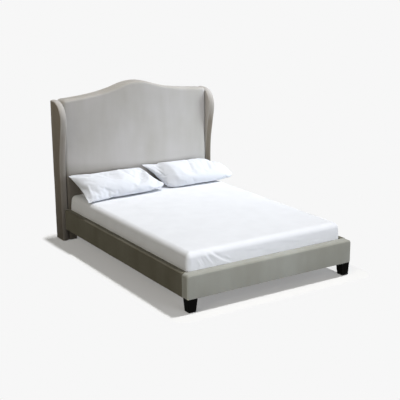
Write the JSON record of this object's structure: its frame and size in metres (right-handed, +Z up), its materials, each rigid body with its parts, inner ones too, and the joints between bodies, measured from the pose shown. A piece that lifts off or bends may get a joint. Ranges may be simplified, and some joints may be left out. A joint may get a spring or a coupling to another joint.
{
  "type": "wingback bed",
  "caption": "Upholstered double bed with a curved winged headboard, padded rails, black front legs, a slatted base, a mattress in a white fitted sheet and two pillows",
  "frame": {"origin": "on the floor under the middle of the whole bed, wings and foot rail included", "axes": "+Z up, +Y from the foot to the head, +X to the right for someone who stands at the foot and looks at the headboard"},
  "size_m": [1.512, 2.113, 1.315],
  "materials": {
    "upholstery": "short-pile velvet, silver grey",
    "back_cloth": "non-woven dust cloth, charcoal",
    "foam": "cream upholstery foam",
    "pine": "planed pine",
    "slat_timber": "planed light slat timber",
    "plywood": "raw plywood",
    "black_wood": "black satin lacquer",
    "zinc_steel": "zinc plated",
    "bracket_steel": "black powder coat",
    "black_plastic": "matt black moulded plastic",
    "mattress": "woven mattress ticking",
    "sheet_cotton": "white cotton",
    "pillowcase_cotton": "white cotton",
    "pillow_filling": "white fibre filling in its ticking"
  },
  "bodies": {
    "bed_frame": {"beam_hangers": "bracket_steel", "bracket_bolts": "zinc_steel", "centre_beam": "pine", "centre_leg_foot": "pine", "centre_leg_head": "pine", "corner_brackets": "bracket_steel", "foot_leg_bolts": "zinc_steel", "foot_leg_glides": "black_plastic", "foot_leg_left": "black_wood", "foot_leg_right": "black_wood", "foot_rail_core": "pine", "foot_rail_cover": "upholstery", "foot_rail_foam": "foam", "headboard_back_cloth": "back_cloth", "headboard_cover": "upholstery", "headboard_foam": "foam", "headboard_glides": "black_plastic", "headboard_panel_board": "plywood", "headboard_post_left": "pine", "headboard_post_right": "pine", "headboard_rail_bottom": "pine", "headboard_rail_top": "pine", "side_rail_core_left": "pine", "side_rail_core_right": "pine", "side_rail_cover_left": "upholstery", "side_rail_cover_right": "upholstery", "side_rail_foam_left": "foam", "side_rail_foam_right": "foam", "slat_01": "slat_timber", "slat_02": "slat_timber", "slat_03": "slat_timber", "slat_04": "slat_timber", "slat_05": "slat_timber", "slat_06": "slat_timber", "slat_07": "slat_timber", "slat_08": "slat_timber", "slat_09": "slat_timber", "slat_10": "slat_timber", "slat_11": "slat_timber", "slat_12": "slat_timber", "slat_13": "slat_timber", "slat_14": "slat_timber", "slat_ledger_left": "pine", "slat_ledger_right": "pine", "wing_bolts": "zinc_steel", "wing_core_left": "plywood", "wing_core_right": "plywood", "wing_cover_left": "upholstery", "wing_cover_right": "upholstery", "wing_foam_left": "foam", "wing_foam_right": "foam", "wood_screws": "zinc_steel"},
    "mattress": {"mattress_core": "mattress", "fitted_sheet": "sheet_cotton"},
    "left_pillow": {"pillow_left": "pillow_filling", "pillowcase_left": "pillowcase_cotton"},
    "right_pillow": {"pillow_right": "pillow_filling", "pillowcase_right": "pillowcase_cotton"},
    "foot_leveller": {"levelling_foot_foot": "black_plastic"},
    "head_leveller": {"levelling_foot_head": "black_plastic"}
  },
  "joints": [
    {"name": "mattress_lift", "type": "slide", "parent": "bed_frame", "child": "mattress", "axis": [0, 0, 1], "range_m": [0, 0.25]},
    {"name": "left_pillow_lift", "type": "slide", "parent": "mattress", "child": "left_pillow", "axis": [0, 0, 1], "range_m": [0, 0.3]},
    {"name": "right_pillow_lift", "type": "slide", "parent": "mattress", "child": "right_pillow", "axis": [0, 0, 1], "range_m": [0, 0.3]},
    {"name": "foot_leveller_screw", "type": "slide", "parent": "bed_frame", "child": "foot_leveller", "axis": [0, 0, -1], "range_m": [0, 0.012]},
    {"name": "head_leveller_screw", "type": "slide", "parent": "bed_frame", "child": "head_leveller", "axis": [0, 0, -1], "range_m": [0, 0.012]}
  ]
}
